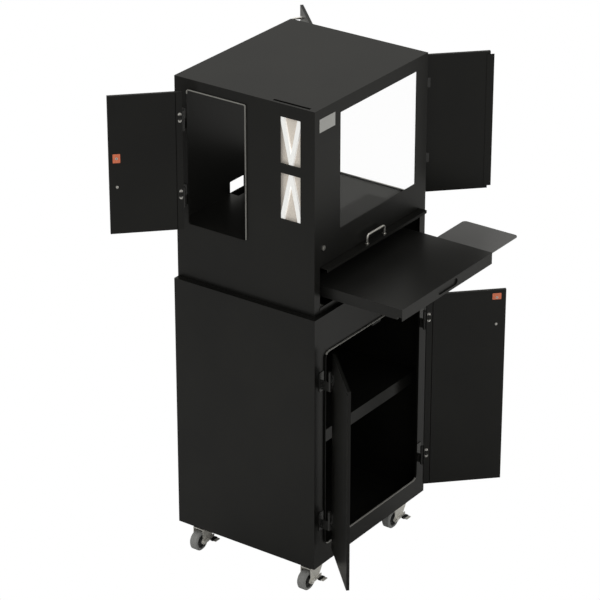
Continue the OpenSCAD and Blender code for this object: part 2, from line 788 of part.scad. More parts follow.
module lower_left_door() color(black) at_lower_left(door_open)
    door_pan(low_door_w, low_door_z0, low_door_z1, low_hinges, true, lower_lip);
module lower_right_door() color(black) at_lower_right(door_open)
    door_pan(low_door_w, low_door_z0, low_door_z1, low_hinges, false, lower_lip)
        handle_holes(low_handle_u, low_handle_z);
module upper_left_door() color(black) at_upper_left(door_open)
    door_pan(left_door_w, left_door_z0, left_door_z1, left_hinges, false)
        handle_holes(left_handle_u, left_handle_z);
module upper_front_door() color(black) at_upper_front(door_open)
    door_pan(right_door_w, right_door_z0, right_door_z1, right_hinges, true);
module upper_rear_door() color(black) at_upper_rear(door_open)
    door_pan(right_door_w, right_door_z0, right_door_z1, right_hinges, false)
        handle_holes(right_handle_u, rear_handle_z);

module lower_left_hinges() color(black) at_lower_left(door_open) for (z = low_hinges) hinge_leaf(z);
module lower_right_hinges() color(black) at_lower_right(door_open) for (z = low_hinges) hinge_leaf(z);
module upper_left_hinges() color(black) at_upper_left(door_open) for (z = left_hinges) hinge_leaf(z);
module upper_front_hinges() color(black) at_upper_front(door_open) for (z = right_hinges) hinge_leaf(z);
module upper_rear_hinges() color(black) at_upper_rear(door_open) for (z = right_hinges) hinge_leaf(z);

module lower_left_liner() color(black) at_lower_left(door_open)
    door_liner(low_door_w, low_door_z0, low_door_z1, lower_lip);
module lower_right_liner() color(black) at_lower_right(door_open)
    door_liner(low_door_w, low_door_z0, low_door_z1, lower_lip)
        handle_holes(low_handle_u, low_handle_z);
module upper_left_liner() color(black) at_upper_left(door_open)
    door_liner(left_door_w, left_door_z0, left_door_z1) handle_holes(left_handle_u, left_handle_z);
module upper_front_liner() color(black) at_upper_front(door_open)
    door_liner(right_door_w, right_door_z0, right_door_z1);
module upper_rear_liner() color(black) at_upper_rear(door_open)
    door_liner(right_door_w, right_door_z0, right_door_z1) handle_holes(right_handle_u, rear_handle_z);

module lower_right_handle() color(bright) at_lower_right(door_open)
    d_handle(low_handle_u, low_handle_z, door_t);
module upper_left_handle() color(bright) at_upper_left(door_open)
    d_handle(left_handle_u, left_handle_z, door_t);
module upper_rear_handle() color(bright) at_upper_rear(door_open)
    d_handle(right_handle_u, rear_handle_z, door_t);

// ---------- flap ----------

module flap_panel() {
    y0 = pivot_y - flap_h;
    y1 = pivot_y + pivot_drop;
    color(black) difference() {
        union() {
            span([up_mid - flap_half, y0, flap_top - sheet], [up_mid + flap_half, y1, flap_top]);
            span([up_mid - flap_half, y0, flap_top - flap_t], [up_mid + flap_half, y0 + sheet, flap_top]);
            for (s = [-1, 1]) translate([up_mid + s * (flap_half - lug_w / 2), 0, 0])
                span([-lug_w / 2, pivot_y - 12, flap_top - flap_t], [lug_w / 2, y1, flap_top]);
        }
        translate([up_mid - drawer_w / 2, pivot_y, pivot_z]) rotate([0, 90, 0])
            cylinder(r = rod_r + run, h = drawer_w);
        for (s = [-1, 1]) translate([up_mid + s * handle_c / 2, flap_handle_y, flap_top - flap_t])
            cylinder(r = screw_r + 0.1, h = 2 * flap_t);
    }
}

flap_handle_y = pivot_y - flap_h + 10;

module flap_handle() {
    color(bright) translate([up_mid + handle_c / 2, flap_handle_y, flap_top])
        rotate([90, 0, -90]) translate([0, -door_skin, 0]) d_handle(0, 0, sheet);
}

// Pivot rod that the flap turns on, with a collar outside each track plate.
module flap_carriage() {
    half = drawer_w / 2 + track_in + track_t;
    color(bright) translate([up_mid, pivot_y, pivot_z]) rotate([0, 90, 0]) {
        cylinder(r = rod_r, h = 2 * (half + 3), center = true);
        for (s = [-1, 1]) translate([0, 0, s * (half + soft + 1.5)])
            cylinder(r = 5, h = 3, center = true);
    }
}

// Slotted plates that hang from the equipment floor beside the opening.
module flap_tracks() {
    z0 = pivot_z - 10;
    y0 = up_front + sheet + soft;
    y1 = pivot_y + 14;
    z1 = floor_top - sheet;
    color(bright) for (s = [-1, 1]) translate([up_mid, 0, 0]) mirror([s < 0 ? 1 : 0, 0, 0])
        translate([drawer_w / 2 + track_in, 0, 0]) difference() {
            union() {
                span([0, y0, z0], [track_t, y1, floor_top - floor_hem - soft]);
                span([0, y0 + sheet, z0], [track_t, y1, z1]);
                span([0, y0 + sheet, z1 - 2], [16, y1, z1]);
            }
            translate([-1, 0, pivot_z]) {
                span([0, pivot_y - flap_slide, -rod_r - run], [track_t + 2, pivot_y, rod_r + run]);
                for (y = [pivot_y - flap_slide, pivot_y]) translate([0, y, 0]) rotate([0, 90, 0])
                    cylinder(r = rod_r + run, h = track_t + 2);
            }
        }
}

// ---------- keyboard tray and mouse tray ----------

slot_clear = 1;                      // gap round the mouse tray in the tray's side
recess_w = 110;                      // finger recess in the tray's apron
recess_h = 22;
recess_d = 5;

module keyboard_tray() {
    z1 = tray_top;
    color(black) difference() {
        union() {
            span([tray_left, tray_front, z1 - sheet], [tray_right, tray_rear, z1]);
            span([tray_left, tray_front, z1 - apron_h], [tray_right, tray_front + sheet, z1]);
            for (x = [tray_left, tray_right - sheet])
                span([x, tray_front, z1 - skirt_h], [x + sheet, tray_rear, z1]);
            span([tray_left, tray_rear - sheet, z1 - skirt_h], [tray_right, tray_rear, z1]);
            finger_stadium(recess_h / 2 + sheet, tray_front, tray_front + recess_d + sheet);
        }
        finger_stadium(recess_h / 2, tray_front - 1, tray_front + recess_d);
        span([tray_right - sheet - 1, mouse_front - slot_clear, arm_z - guide_gap],
            [tray_right + 1, mouse_front + mouse_d + slot_clear, z1 - sheet]);
        translate([up_mid, 0, 0]) for (s = [0, 1]) mirror([s, 0, 0]) rail_notch();
    }
}

// Notch in the tray's rear skirt that a runner bar and its rail pass through.
module rail_notch() {
    span([tray_w / 2 - sheet - runner_t - 4, tray_rear - sheet - 1, tray_top - skirt_h - 1],
        [tray_w / 2 - sheet, tray_rear + 1, runner_z + runner_h + 4]);
}

module finger_stadium(r, y0, y1) {
    half = recess_w / 2 - recess_h / 2;
    translate([up_mid, y1, tray_top - apron_h / 2]) rotate([90, 0, 0]) {
        for (s = [-1, 1]) translate([s * half, 0, 0]) cylinder(r = r, h = y1 - y0);
        translate([-half, -r, 0]) cube([2 * half, 2 * r, y1 - y0]);
    }
}

// Runner bars under the tray's sides, reaching back into the cabinet.
module tray_runners() {
    color("#3a3a39") for (s = [-1, 1]) translate([up_mid, 0, 0]) mirror([s < 0 ? 1 : 0, 0, 0])
        span([tray_w / 2 - sheet - runner_t, tray_front + runner_in, runner_z],
            [tray_w / 2 - sheet, tray_rear + runner_back, runner_z + runner_h]);
}

// C-shaped rails on legs from the upper cabinet's base.
module drawer_rails() {
    xo = tray_w / 2 - sheet - runner_t;
    web = xo - rail_gap;
    y0 = up_front + rail_front;
    y1 = y0 + rail_l;
    color(bright) for (s = [-1, 1]) translate([up_mid, 0, 0]) mirror([s < 0 ? 1 : 0, 0, 0]) {
        span([web - 2, y0, runner_z - rail_gap - 2], [web, y1, runner_z + runner_h + rail_gap + 2]);
        for (z = [runner_z - rail_gap - 2, runner_z + runner_h + rail_gap])
            span([web - e, y0, z], [xo + 4, y1, z + 2]);
        for (y = [y0 + foot_in, y1 - foot_in - rail_foot]) {
            span([web - 2, y, up_z + sheet], [web, y + rail_foot, runner_z]);
            span([web - 22, y, up_z + sheet], [web, y + rail_foot, up_z + sheet + 2]);
        }
    }
}

module mouse_tray() {
    y0 = mouse_front;
    y1 = mouse_front + mouse_d;
    color("#5b5b5b") {
        translate([0, 0, mouse_top - mouse_t]) linear_extrude(mouse_t)
            plate2d(mouse_left, y0, mouse_right, y1, mouse_r);
        for (y = [y0 + arm_in, y1 - arm_in - arm_w])
            span([mouse_left - arm_l, y, arm_z], [mouse_left + 20, y + arm_w, mouse_top - mouse_t + e]);
    }
}

// Channels under the tray that carry the mouse tray's arms. Behind the plate's travel
// their walls reach up to the tray's top sheet.
module mouse_guides() {
    zt = tray_top - sheet;
    zb = arm_z - guide_gap;
    x0 = mouse_left - arm_l - mouse_travel;
    x1 = tray_right - sheet;
    color(bright) for (y = [mouse_front + arm_in, mouse_front + mouse_d - arm_in - arm_w])
        difference() {
            union() {
                span([x0, y - guide_gap - guide_t, zb - guide_t],
                    [x1, y + arm_w + guide_gap + guide_t, mouse_top - mouse_t - soft]);
                span([x0, y - guide_gap - guide_t, zb - guide_t],
                    [mouse_left - mouse_travel - 2, y + arm_w + guide_gap + guide_t, zt]);
            }
            span([x0 - 1, y - guide_gap, zb], [x1 + 1, y + arm_w + guide_gap, zt + 1]);
        }
}

// ---------- castors ----------

module each_castor() {
    for (x = [castor_xl, castor_xr], y = [castor_yf, castor_yr]) translate([x, y, 0]) children();
}

module caster_plates() {
    color(bright) each_castor() {
        span([-plate_w / 2, -plate_d / 2, castor_h - plate_t], [plate_w / 2, plate_d / 2, castor_h]);
        translate([0, 0, cup_z]) cylinder(r = cup_r, h = castor_head - plate_t + e);
        translate([0, 0, crown_z - soft - 2]) cylinder(r = kingpin_r, h = castor_head);
        translate([0, 0, crown_z - soft - 2]) cylinder(r = kingpin_r + 3, h = 2);
        for (x = [-1, 1], y = [-1, 1]) translate([x * (plate_w / 2 - 12), y * (plate_d / 2 - 9),
            castor_h - plate_t - 4]) cylinder(r = 5.5, h = 4 + e, $fn = 6);
    }
}

// Crown, two broad side plates and the axle bolt.
module fork() {
    color(bright) difference() {
        union() {
            translate([0, 0, crown_z]) cylinder(r = cup_r, h = crown_t);
            span([-fork_back, -fork_half, crown_z], [fork_front, fork_half, crown_z + crown_t]);
            for (y = [fork_half, fork_t - fork_half]) translate([0, y, 0])
                rotate([90, 0, 0]) linear_extrude(fork_t) fork_side();
            translate([-castor_trail, 0, wheel_r]) rotate([90, 0, 0]) {
                translate([0, 0, -fork_half - 2]) cylinder(r = axle_r, h = 2 * fork_half + lever_t + 5);
                translate([0, 0, -fork_half - 5]) cylinder(r = 7.5, h = 5, $fn = 6);
                translate([0, 0, fork_half + lever_t + 2 * soft]) cylinder(r = 7.5, h = 5, $fn = 6);
            }
        }
        translate([0, 0, crown_z - 1]) cylinder(r = kingpin_r + run, h = crown_t + 2);
    }
}

module fork_side() {
    nose = 12;                       // reach of the plate round the axle
    polygon([[fork_front, crown_z + crown_t], [-castor_trail / 3, wheel_r - 4],
        [-castor_trail / 2, wheel_r - nose + 2], [-castor_trail, wheel_r - nose],
        [-castor_trail - nose, wheel_r], [-fork_back, wheel_r + nose],
        [-fork_back, crown_z + crown_t]]);
}

module tyre() {
    color("#7f8485") translate([-castor_trail, 0, wheel_r]) rotate([90, 0, 0]) difference() {
        union() {
            cylinder(r = wheel_r, h = wheel_w - 8, center = true);
            for (s = [0, 1]) mirror([0, 0, s]) translate([0, 0, wheel_w / 2 - 4])
                cylinder(r1 = wheel_r, r2 = wheel_r - 4, h = 4);
        }
        cylinder(r = rim_r + seat, h = wheel_w + 2, center = true);
    }
}

module wheel_core() {
    color("#3c3d3d") translate([-castor_trail, 0, wheel_r]) rotate([90, 0, 0]) difference() {
        union() {
            cylinder(r = rim_r, h = wheel_w - 6, center = true);
            cylinder(r = 11, h = wheel_w + 2 * fork_gap - 2 * soft, center = true);
        }
        cylinder(r = axle_r + run, h = wheel_w + 20, center = true);
        for (s = [0, 1]) mirror([0, 0, s]) translate([0, 0, wheel_w / 2 - 7]) difference() {
            cylinder(r = rim_r - 4, h = 10);
            translate([0, 0, -1]) cylinder(r = 13, h = 12);
        }
    }
}

// Brake lever on the axle, outside the fork, with a foot tab bent out at its end.
module lever() {
    color(bright) translate([-castor_trail, -fork_half - soft, wheel_r]) rotate([90, 0, 0])
        difference() {
            union() {
                cylinder(r = lever_w / 2, h = lever_t);
                translate([0, -lever_w / 2, 0]) cube([lever_l, lever_w, lever_t]);
                translate([lever_l - tab_l, -lever_w / 2, 0]) cube([tab_l, lever_t, tab_out]);
            }
            translate([0, 0, -1]) cylinder(r = axle_r + run, h = lever_t + 2);
        }
}

module at_front_left() translate([castor_xl, castor_yf, 0]) children();
module at_front_right() translate([castor_xr, castor_yf, 0]) children();
module at_rear_left() translate([castor_xl, castor_yr, 0]) children();
module at_rear_right() translate([castor_xr, castor_yr, 0]) children();

module fork_front_left() at_front_left() fork();
module fork_front_right() at_front_right() fork();
module fork_rear_left() at_rear_left() fork();
module fork_rear_right() at_rear_right() fork();
module tyre_front_left() at_front_left() tyre();
module tyre_front_right() at_front_right() tyre();
module tyre_rear_left() at_rear_left() tyre();
module tyre_rear_right() at_rear_right() tyre();
module wheel_front_left() at_front_left() wheel_core();
module wheel_front_right() at_front_right() wheel_core();
module wheel_rear_left() at_rear_left() wheel_core();
module wheel_rear_right() at_rear_right() wheel_core();
module lever_front_left() at_front_left() lever();
module lever_front_right() at_front_right() lever();
module lever_rear_left() at_rear_left() lever();
module lever_rear_right() at_rear_right() lever();

lower_shell();
upper_shell();
front_panel();
equipment_floor();
lower_shelf();
shelf_clips();
window_pane();
window_gasket();
label_plate();
lock_barrel();
filter_holder();
filter_pads();
filter_retainers();
hinge_brackets();
hinge_pins();
drawer_rails();
flap_tracks();
caster_plates();
lock_plug();
lower_left_door();
lower_left_hinges();
lower_left_liner();
lower_right_door();
lower_right_hinges();
lower_right_liner();
lower_right_handle();
upper_left_door();
upper_left_hinges();
upper_left_liner();
upper_left_handle();
upper_front_door();
upper_front_hinges();
upper_front_liner();
upper_rear_door();
upper_rear_hinges();
upper_rear_liner();
upper_rear_handle();
flap_panel();
flap_handle();
flap_carriage();
keyboard_tray();
tray_runners();
mouse_guides();
mouse_tray();
fork_front_left();
tyre_front_left();
wheel_front_left();
lever_front_left();
fork_front_right();
tyre_front_right();
wheel_front_right();
lever_front_right();
fork_rear_left();
tyre_rear_left();
wheel_rear_left();
lever_rear_left();
fork_rear_right();
tyre_rear_right();
wheel_rear_right();
lever_rear_right();
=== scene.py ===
import json
import math

import bmesh
import bpy
from mathutils import Matrix, Vector


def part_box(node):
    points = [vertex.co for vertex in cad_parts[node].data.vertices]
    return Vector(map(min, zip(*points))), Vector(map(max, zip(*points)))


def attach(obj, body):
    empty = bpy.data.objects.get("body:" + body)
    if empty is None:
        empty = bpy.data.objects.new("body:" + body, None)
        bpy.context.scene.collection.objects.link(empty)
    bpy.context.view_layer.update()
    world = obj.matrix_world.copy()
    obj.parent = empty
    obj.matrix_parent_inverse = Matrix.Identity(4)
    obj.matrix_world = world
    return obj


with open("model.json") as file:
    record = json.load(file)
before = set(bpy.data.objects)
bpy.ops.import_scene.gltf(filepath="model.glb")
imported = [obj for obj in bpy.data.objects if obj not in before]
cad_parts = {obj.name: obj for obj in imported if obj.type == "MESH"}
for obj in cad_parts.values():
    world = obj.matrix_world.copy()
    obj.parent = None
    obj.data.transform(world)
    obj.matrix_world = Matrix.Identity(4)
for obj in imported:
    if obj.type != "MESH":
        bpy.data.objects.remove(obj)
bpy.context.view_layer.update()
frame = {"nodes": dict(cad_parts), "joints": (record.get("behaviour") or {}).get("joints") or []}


# ---- Camera -------------------------------------------------------------------------------
# A long lens from the cabinet's front left, a little above its roof, as a catalogue
# picture is taken.
camera_data = bpy.data.cameras.new("camera")
camera_data.lens = 175.67
camera_data.sensor_width = 36.0
camera_data.clip_end = 60.0
camera = bpy.data.objects.new("camera", camera_data)
bpy.context.collection.objects.link(camera)
camera_place = Vector((-6.9562, -4.9392, 4.9449))
camera_aim = Vector((-1.0556, -0.7410, 1.4714))
camera.location = camera_place
camera.rotation_euler = (camera_aim - camera_place).to_track_quat("-Z", "Y").to_euler()
bpy.context.scene.camera = camera
bpy.context.scene.view_settings.view_transform = "Standard"


# ---- Studio -------------------------------------------------------------------------------
# A white room: the world is white where it is seen, softly grey as a light, and dimmer on
# the camera's side and low down, where a coat at a low angle would mirror too much of it.
def linear(hex_colour):
    """An sRGB hex value as linear red, green, blue and alpha."""
    channels = [int(hex_colour[i:i + 2], 16) / 255 for i in (1, 3, 5)]
    return [c / 12.92 if c <= 0.04045 else ((c + 0.055) / 1.055) ** 2.4 for c in channels] + [1.0]


def add_node(tree, kind, links=(), **settings):
    """Adds a node. A setting names an attribute or an input socket. A link is
    (input, node, output)."""
    node = tree.nodes.new(kind)
    for key, value in settings.items():
        if hasattr(node, key):
            setattr(node, key, value)
        else:
            node.inputs[key.replace("_", " ")].default_value = value
    for socket, source, output in links:
        tree.links.new(source.outputs[output], node.inputs[socket])
    return node


world = bpy.data.worlds.new("white_room")
world.use_nodes = True
world.node_tree.nodes.clear()
tree = world.node_tree
rays = add_node(tree, "ShaderNodeLightPath")
light_level = 0.66
direction = add_node(tree, "ShaderNodeTexCoord")
toward_camera = add_node(tree, "ShaderNodeVectorMath", [(0, direction, "Generated")],
                         operation="DOT_PRODUCT")
toward_camera.inputs[1].default_value = (-0.815, -0.579, 0.0)
dimmed = add_node(tree, "ShaderNodeMapRange", [("Value", toward_camera, "Value")],
                  From_Min=0.2, From_Max=1.0, To_Min=1.0, To_Max=0.5)
split = add_node(tree, "ShaderNodeSeparateXYZ", [(0, direction, "Generated")])
gloss_level = add_node(tree, "ShaderNodeMapRange", [("Value", split, "Z")],
                       From_Min=0.45, From_Max=0.75, To_Min=0.42, To_Max=0.85)
soft_part = add_node(tree, "ShaderNodeMix",
                     [("Factor", rays, "Is Glossy Ray"), ("B", gloss_level, 0)])
soft_part.inputs["A"].default_value = light_level
soft_part = add_node(tree, "ShaderNodeMath", [(0, soft_part, 0), (1, dimmed, 0)], operation="MULTIPLY")
seen = add_node(tree, "ShaderNodeMix", [("Factor", rays, "Is Camera Ray"), ("A", soft_part, 0)])
seen.inputs["B"].default_value = 1.0
warmth = add_node(tree, "ShaderNodeMix", [(0, rays, "Is Camera Ray")], data_type="RGBA")
warmth.inputs[6].default_value = (1.0, 0.992, 0.945, 1)
warmth.inputs[7].default_value = (1.0, 1.0, 1.0, 1)
room = add_node(tree, "ShaderNodeBackground", [("Strength", seen, 0), ("Color", warmth, 2)])
add_node(tree, "ShaderNodeOutputWorld", [("Surface", room, 0)])
bpy.context.scene.world = world

floor_mesh = bmesh.new()
bmesh.ops.create_grid(floor_mesh, x_segments=1, y_segments=1, size=8.0)
floor_data = bpy.data.meshes.new("studio_floor")
floor_mesh.to_mesh(floor_data)
floor_mesh.free()
floor = bpy.data.objects.new("studio_floor", floor_data)
bpy.context.collection.objects.link(floor)
floor_paint = bpy.data.materials.new("white_floor")
floor_paint.use_nodes = True
tree = floor_paint.node_tree
tree.nodes.clear()
rays = add_node(tree, "ShaderNodeLightPath")
matt = add_node(tree, "ShaderNodeBsdfDiffuse", Color=(0.8, 0.8, 0.8, 1))
glow = add_node(tree, "ShaderNodeEmission", Color=(1, 1, 1, 1), Strength=1.0)
share = add_node(tree, "ShaderNodeMapRange", [("Value", rays, "Is Camera Ray")],
                 To_Min=0.0, To_Max=1.0)
both = add_node(tree, "ShaderNodeMixShader", [(0, share, 0), (1, matt, 0), (2, glow, 0)])
add_node(tree, "ShaderNodeOutputMaterial", [("Surface", both, 0)])
floor_data.materials.append(floor_paint)


def soft_lamp(name, place, aim, size, watts):
    """A square lamp turned to its aim."""
    data = bpy.data.lights.new(name, "AREA")
    data.size = size
    data.energy = watts
    lamp = bpy.data.objects.new(name, data)
    lamp.location = place
    lamp.rotation_euler = (Vector(aim) - Vector(place)).to_track_quat("-Z", "Y").to_euler()
    bpy.context.collection.objects.link(lamp)
    return lamp


soft_lamp("key_lamp", (-3.2, -4.6, 4.2), (0, 0, 1.0), 2.4, 30)
soft_lamp("top_lamp", (0.5, 1.0, 5.2), (0, 0, 1.0), 3.0, 45)


# ---- Cabinet shells, floor and shelf -----------------------------------------------------
# Folded steel sheet with a black polyester powder coat. The coat is cured smooth with a
# very fine orange peel, and it mirrors pale surroundings at a low angle.
def principled(name, **settings):
    """A material with one Principled shader. Returns the material, its tree and shader."""
    material = bpy.data.materials.new(name)
    material.use_nodes = True
    material.node_tree.nodes.clear()
    shader = add_node(material.node_tree, "ShaderNodeBsdfPrincipled", **settings)
    add_node(material.node_tree, "ShaderNodeOutputMaterial", [("Surface", shader, 0)])
    return material, material.node_tree, shader


def finish_node(node_name, material):
    """Gives a CAD node its finish."""
    node_object = frame["nodes"][node_name]
    if not node_object.data.materials:
        node_object.data.materials.append(material)
    for slot in node_object.material_slots:
        slot.material = material


def powder_coat(name, base, roughness, ior):
    """Powder coat: smooth colour with slight cloudiness and orange peel 1.6 mm across."""
    material, tree, shader = principled(name, Roughness=roughness, IOR=ior)
    place = add_node(tree, "ShaderNodeTexCoord")
    cloud = add_node(tree, "ShaderNodeTexNoise", [("Vector", place, "Object")], Scale=5.0, Detail=3.0)
    tone = add_node(tree, "ShaderNodeValToRGB", [("Fac", cloud, "Fac")])
    dark, light = base
    tone.color_ramp.elements[0].position = 0.3
    tone.color_ramp.elements[0].color = linear(dark)
    tone.color_ramp.elements[1].position = 0.7
    tone.color_ramp.elements[1].color = linear(light)
    tree.links.new(tone.outputs["Color"], shader.inputs["Base Color"])
    peel = add_node(tree, "ShaderNodeTexNoise", [("Vector", place, "Object")], Scale=620.0, Detail=1.0)
    bump = add_node(tree, "ShaderNodeBump", [("Height", peel, "Fac")], Strength=0.04, Distance=0.0004)
    tree.links.new(bump.outputs["Normal"], shader.inputs["Normal"])
    return material, tree, shader, tone


coat_tones = ("#151514", "#1a1a18")
black_coat, *_ = powder_coat("black_powder_coat", coat_tones, 0.32, 1.32)
for name in ("front_panel", "equipment_floor", "lower_shelf", "filter_holder"):
    finish_node(name, black_coat)


def past_plane(tree, place, normal, distance):
    """1 where a point lies further along the normal than the distance, else 0."""
    along = add_node(tree, "ShaderNodeVectorMath", [(0, place, "Object")], operation="DOT_PRODUCT")
    along.inputs[1].default_value = normal
    past = add_node(tree, "ShaderNodeMath", [(0, along, "Value")], operation="GREATER_THAN")
    past.inputs[1].default_value = distance
    return past


def lip_highlight_coat(name, faces, sides):
    """The same coat with a painted highlight on the opening lips, lighter where their edges would catch the
    light: what lies past any of the faces and past any of the sides. Both are lists of (normal, distance)."""
    material, tree, shader, tone = powder_coat(name, coat_tones, 0.32, 1.32)
    place = add_node(tree, "ShaderNodeTexCoord")
    groups = []
    for planes in (faces, sides):
        group = past_plane(tree, place, *planes[0])
        for plane in planes[1:]:
            past = past_plane(tree, place, *plane)
            group = add_node(tree, "ShaderNodeMath", [(0, group, 0), (1, past, 0)],
                             operation="MAXIMUM")
        groups.append(group)
    lip_highlight_share = add_node(tree, "ShaderNodeMath", [(0, groups[0], 0), (1, groups[1], 0)], operation="MULTIPLY")
    colour = add_node(tree, "ShaderNodeMix", [("Factor", lip_highlight_share, 0), (6, tone, "Color")], data_type="RGBA")
    # Painted highlight: this light grey stands for the white room mirrored in the lips' edges.
    colour.inputs[7].default_value = linear("#a3a29e")
    tree.links.new(colour.outputs[2], shader.inputs["Base Color"])
    return material


lip_height = 0.006
lip_start = 0.0008
shell_low, shell_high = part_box("upper_shell")
door_low, door_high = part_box("upper_left_door")
# The side openings' diagonal, from the rear top corner to the front bottom one.
half_height, half_width = 0.227, 0.116
diagonal = (0, -1 / half_width, 1 / half_height)
middle_y, middle_z = 0.114, (door_low[2] + door_high[2]) / 2
# The opening lips of both shells carry the painted highlight.
finish_node("upper_shell", lip_highlight_coat("black_coat_upper", [
    ((-1, 0, 0), lip_start - shell_low[0] - lip_height), ((1, 0, 0), shell_high[0] - lip_height + lip_start)],
    [(diagonal, middle_z / half_height - middle_y / half_width)]))
shell_low, shell_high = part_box("lower_shell")
door_low, door_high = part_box("lower_right_door")
finish_node("lower_shell", lip_highlight_coat("black_coat_lower", [
    ((0, -1, 0), lip_start - shell_low[1] - lip_height)],
    [((0, 0, 1), door_high[2] - 0.012), ((0, 0, -1), -door_low[2] - 0.012)]))


# ---- Doors --------------------------------------------------------------------------------
# Folded pans with the cabinet's own coat, each closed by an inner panel flush with its edges.
door_names = ("lower_left", "lower_right", "upper_left", "upper_front", "upper_rear")
for name in door_names:
    finish_node(name + "_door", black_coat)
    finish_node(name + "_liner", black_coat)

foam, tree, shader = principled("black_foam_strip", Roughness=0.9, Base_Color=linear("#0e0e0e"))
place = add_node(tree, "ShaderNodeTexCoord")
cells = add_node(tree, "ShaderNodeTexVoronoi", [("Vector", place, "Object")], Scale=900.0)
bump = add_node(tree, "ShaderNodeBump", [("Height", cells, "Distance")], Strength=0.4, Distance=0.0005)
tree.links.new(bump.outputs["Normal"], shader.inputs["Normal"])
finish_node("window_gasket", foam)


# ---- Hinges and handles -------------------------------------------------------------------
# Hinge halves are folded steel in the cabinet's coat, given a lighter black as a painted highlight on their
# knuckles. Rod handles and the domed bolts that hold the hinges are satin chromed.
def satin_metal(name, colour, roughness, metallic=1.0):
    """Plated metal with a fine brushed unevenness in its gloss."""
    material, tree, shader = principled(name, Metallic=metallic, Roughness=roughness,
                                        Base_Color=linear(colour))
    place = add_node(tree, "ShaderNodeTexCoord")
    patches = add_node(tree, "ShaderNodeTexNoise", [("Vector", place, "Object")], Scale=90.0, Detail=4.0)
    gloss = add_node(tree, "ShaderNodeMapRange", [("Value", patches, "Fac")],
                     To_Min=roughness - 0.06, To_Max=roughness + 0.08)
    tree.links.new(gloss.outputs[0], shader.inputs["Roughness"])
    return material


satin_chrome = satin_metal("satin_chrome", "#d9d7d2", 0.3)
# Painted highlight: a lighter copy of the cabinet's black, standing in for the light on the hinge knuckles.
highlit_hinge_coat, *_ = powder_coat("hinge_coat_painted_highlight", ("#2a2a29", "#323231"), 0.26, 1.5)
for name in [door + "_hinges" for door in door_names] + ["hinge_brackets", "hinge_pins"]:
    finish_node(name, highlit_hinge_coat)
for name in ("lower_right_handle", "upper_left_handle", "upper_rear_handle", "flap_handle",
             "lock_barrel", "lock_plug"):
    finish_node(name, satin_chrome)

bright_bolts, *_ = principled("bright_bolt_heads", Metallic=0.5, Roughness=0.34,
                              Base_Color=linear("#eceae6"))
# Each door's own axes where it stands open: along the door, out of its skin, and up.
pin_out = 0.0235
door_inner_face = 0.0065
open_angle = math.radians(135)
door_faces = {
    "lower_left": ((0, -1, 0), (1, 0, 0)),
    "lower_right": ((0, -1, 0), (-1, 0, 0)),
    "upper_left": ((-1, 0, 0), (0, -1, 0)),
    "upper_front": ((1, 0, 0), (0, 1, 0)),
    "upper_rear": ((1, 0, 0), (0, -1, 0)),
}
door_joints = {joint["child"]: joint for joint in frame["joints"]}


def door_axes(door):
    """The door's pin and its directions along itself and out of its skin, as it stands."""
    joint = door_joints[door]
    turn = Matrix.Rotation(open_angle * joint["axis"][2], 3, "Z")
    outward, along = (turn @ Vector(v) for v in door_faces[door])
    pin = Vector((joint["pos_m"][0], joint["pos_m"][1], 0))
    return pin, along, outward


def on_door(door, reach, depth, height):
    """A point by its distance from the pin, its distance from the cabinet's face with the
    door shut, and its height."""
    pin, along, outward = door_axes(door)
    return pin + along * reach + outward * (depth - pin_out) + Vector((0, 0, height))


def applied(obj, name, body):
    """Turns a modified object into a plain mesh that rides on a body."""
    graph = bpy.context.evaluated_depsgraph_get()
    mesh = bpy.data.meshes.new_from_object(obj.evaluated_get(graph))
    mesh.name = name
    piece = bpy.data.objects.new(name, mesh)
    bpy.context.collection.objects.link(piece)
    bpy.data.objects.remove(obj)
    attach(piece, body)
    return piece


def set_inputs(modifier, values):
    """Sets a Geometry Nodes modifier's inputs by their sockets' identifiers."""
    for item in modifier.node_group.interface.items_tree:
        if item.item_type == "SOCKET" and item.in_out == "INPUT" and item.name in values:
            modifier[item.identifier] = values[item.name]


washer_share = 1.16     # the washer's radius as a share of the head's
washer_depth = 0.0012
bolts = bpy.data.node_groups.new("domed_bolts", "GeometryNodeTree")
bolts.interface.new_socket("Points", in_out="INPUT", socket_type="NodeSocketGeometry")
bolts.interface.new_socket("Head radius", in_out="INPUT", socket_type="NodeSocketFloat")
bolts.interface.new_socket("Head height", in_out="INPUT", socket_type="NodeSocketFloat")
bolts.interface.new_socket("Turn", in_out="INPUT", socket_type="NodeSocketRotation")
bolts.interface.new_socket("Metal", in_out="INPUT", socket_type="NodeSocketMaterial")
bolts.interface.new_socket("Bolts", in_out="OUTPUT", socket_type="NodeSocketGeometry")
given = add_node(bolts, "NodeGroupInput")
stretch = add_node(bolts, "ShaderNodeCombineXYZ",
                   [("X", given, "Head radius"), ("Y", given, "Head radius"), ("Z", given, "Head height")])
ball = add_node(bolts, "GeometryNodeMeshUVSphere", Segments=24, Rings=14, Radius=1.0)
dome = add_node(bolts, "GeometryNodeTransform", [("Geometry", ball, "Mesh"), ("Scale", stretch, "Vector")])
washer_radius = add_node(bolts, "ShaderNodeMath", [(0, given, "Head radius")], operation="MULTIPLY")
washer_radius.inputs[1].default_value = washer_share
washer = add_node(bolts, "GeometryNodeMeshCylinder", [("Radius", washer_radius, 0)],
                  Vertices=28, Depth=washer_depth)
head = add_node(bolts, "GeometryNodeJoinGeometry", [("Geometry", dome, "Geometry")])
bolts.links.new(washer.outputs["Mesh"], head.inputs["Geometry"])
smooth = add_node(bolts, "GeometryNodeSetShadeSmooth", [("Geometry", dome, "Geometry")])
bolts.links.new(smooth.outputs[0], head.inputs["Geometry"])
placed = add_node(bolts, "GeometryNodeInstanceOnPoints",
                  [("Points", given, "Points"), ("Instance", head, "Geometry"), ("Rotation", given, "Turn")])
real = add_node(bolts, "GeometryNodeRealizeInstances", [("Geometry", placed, "Instances")])
coated = add_node(bolts, "GeometryNodeSetMaterial", [("Geometry", real, 0), ("Material", given, "Metal")])
add_node(bolts, "NodeGroupOutput", [("Bolts", coated, 0)])


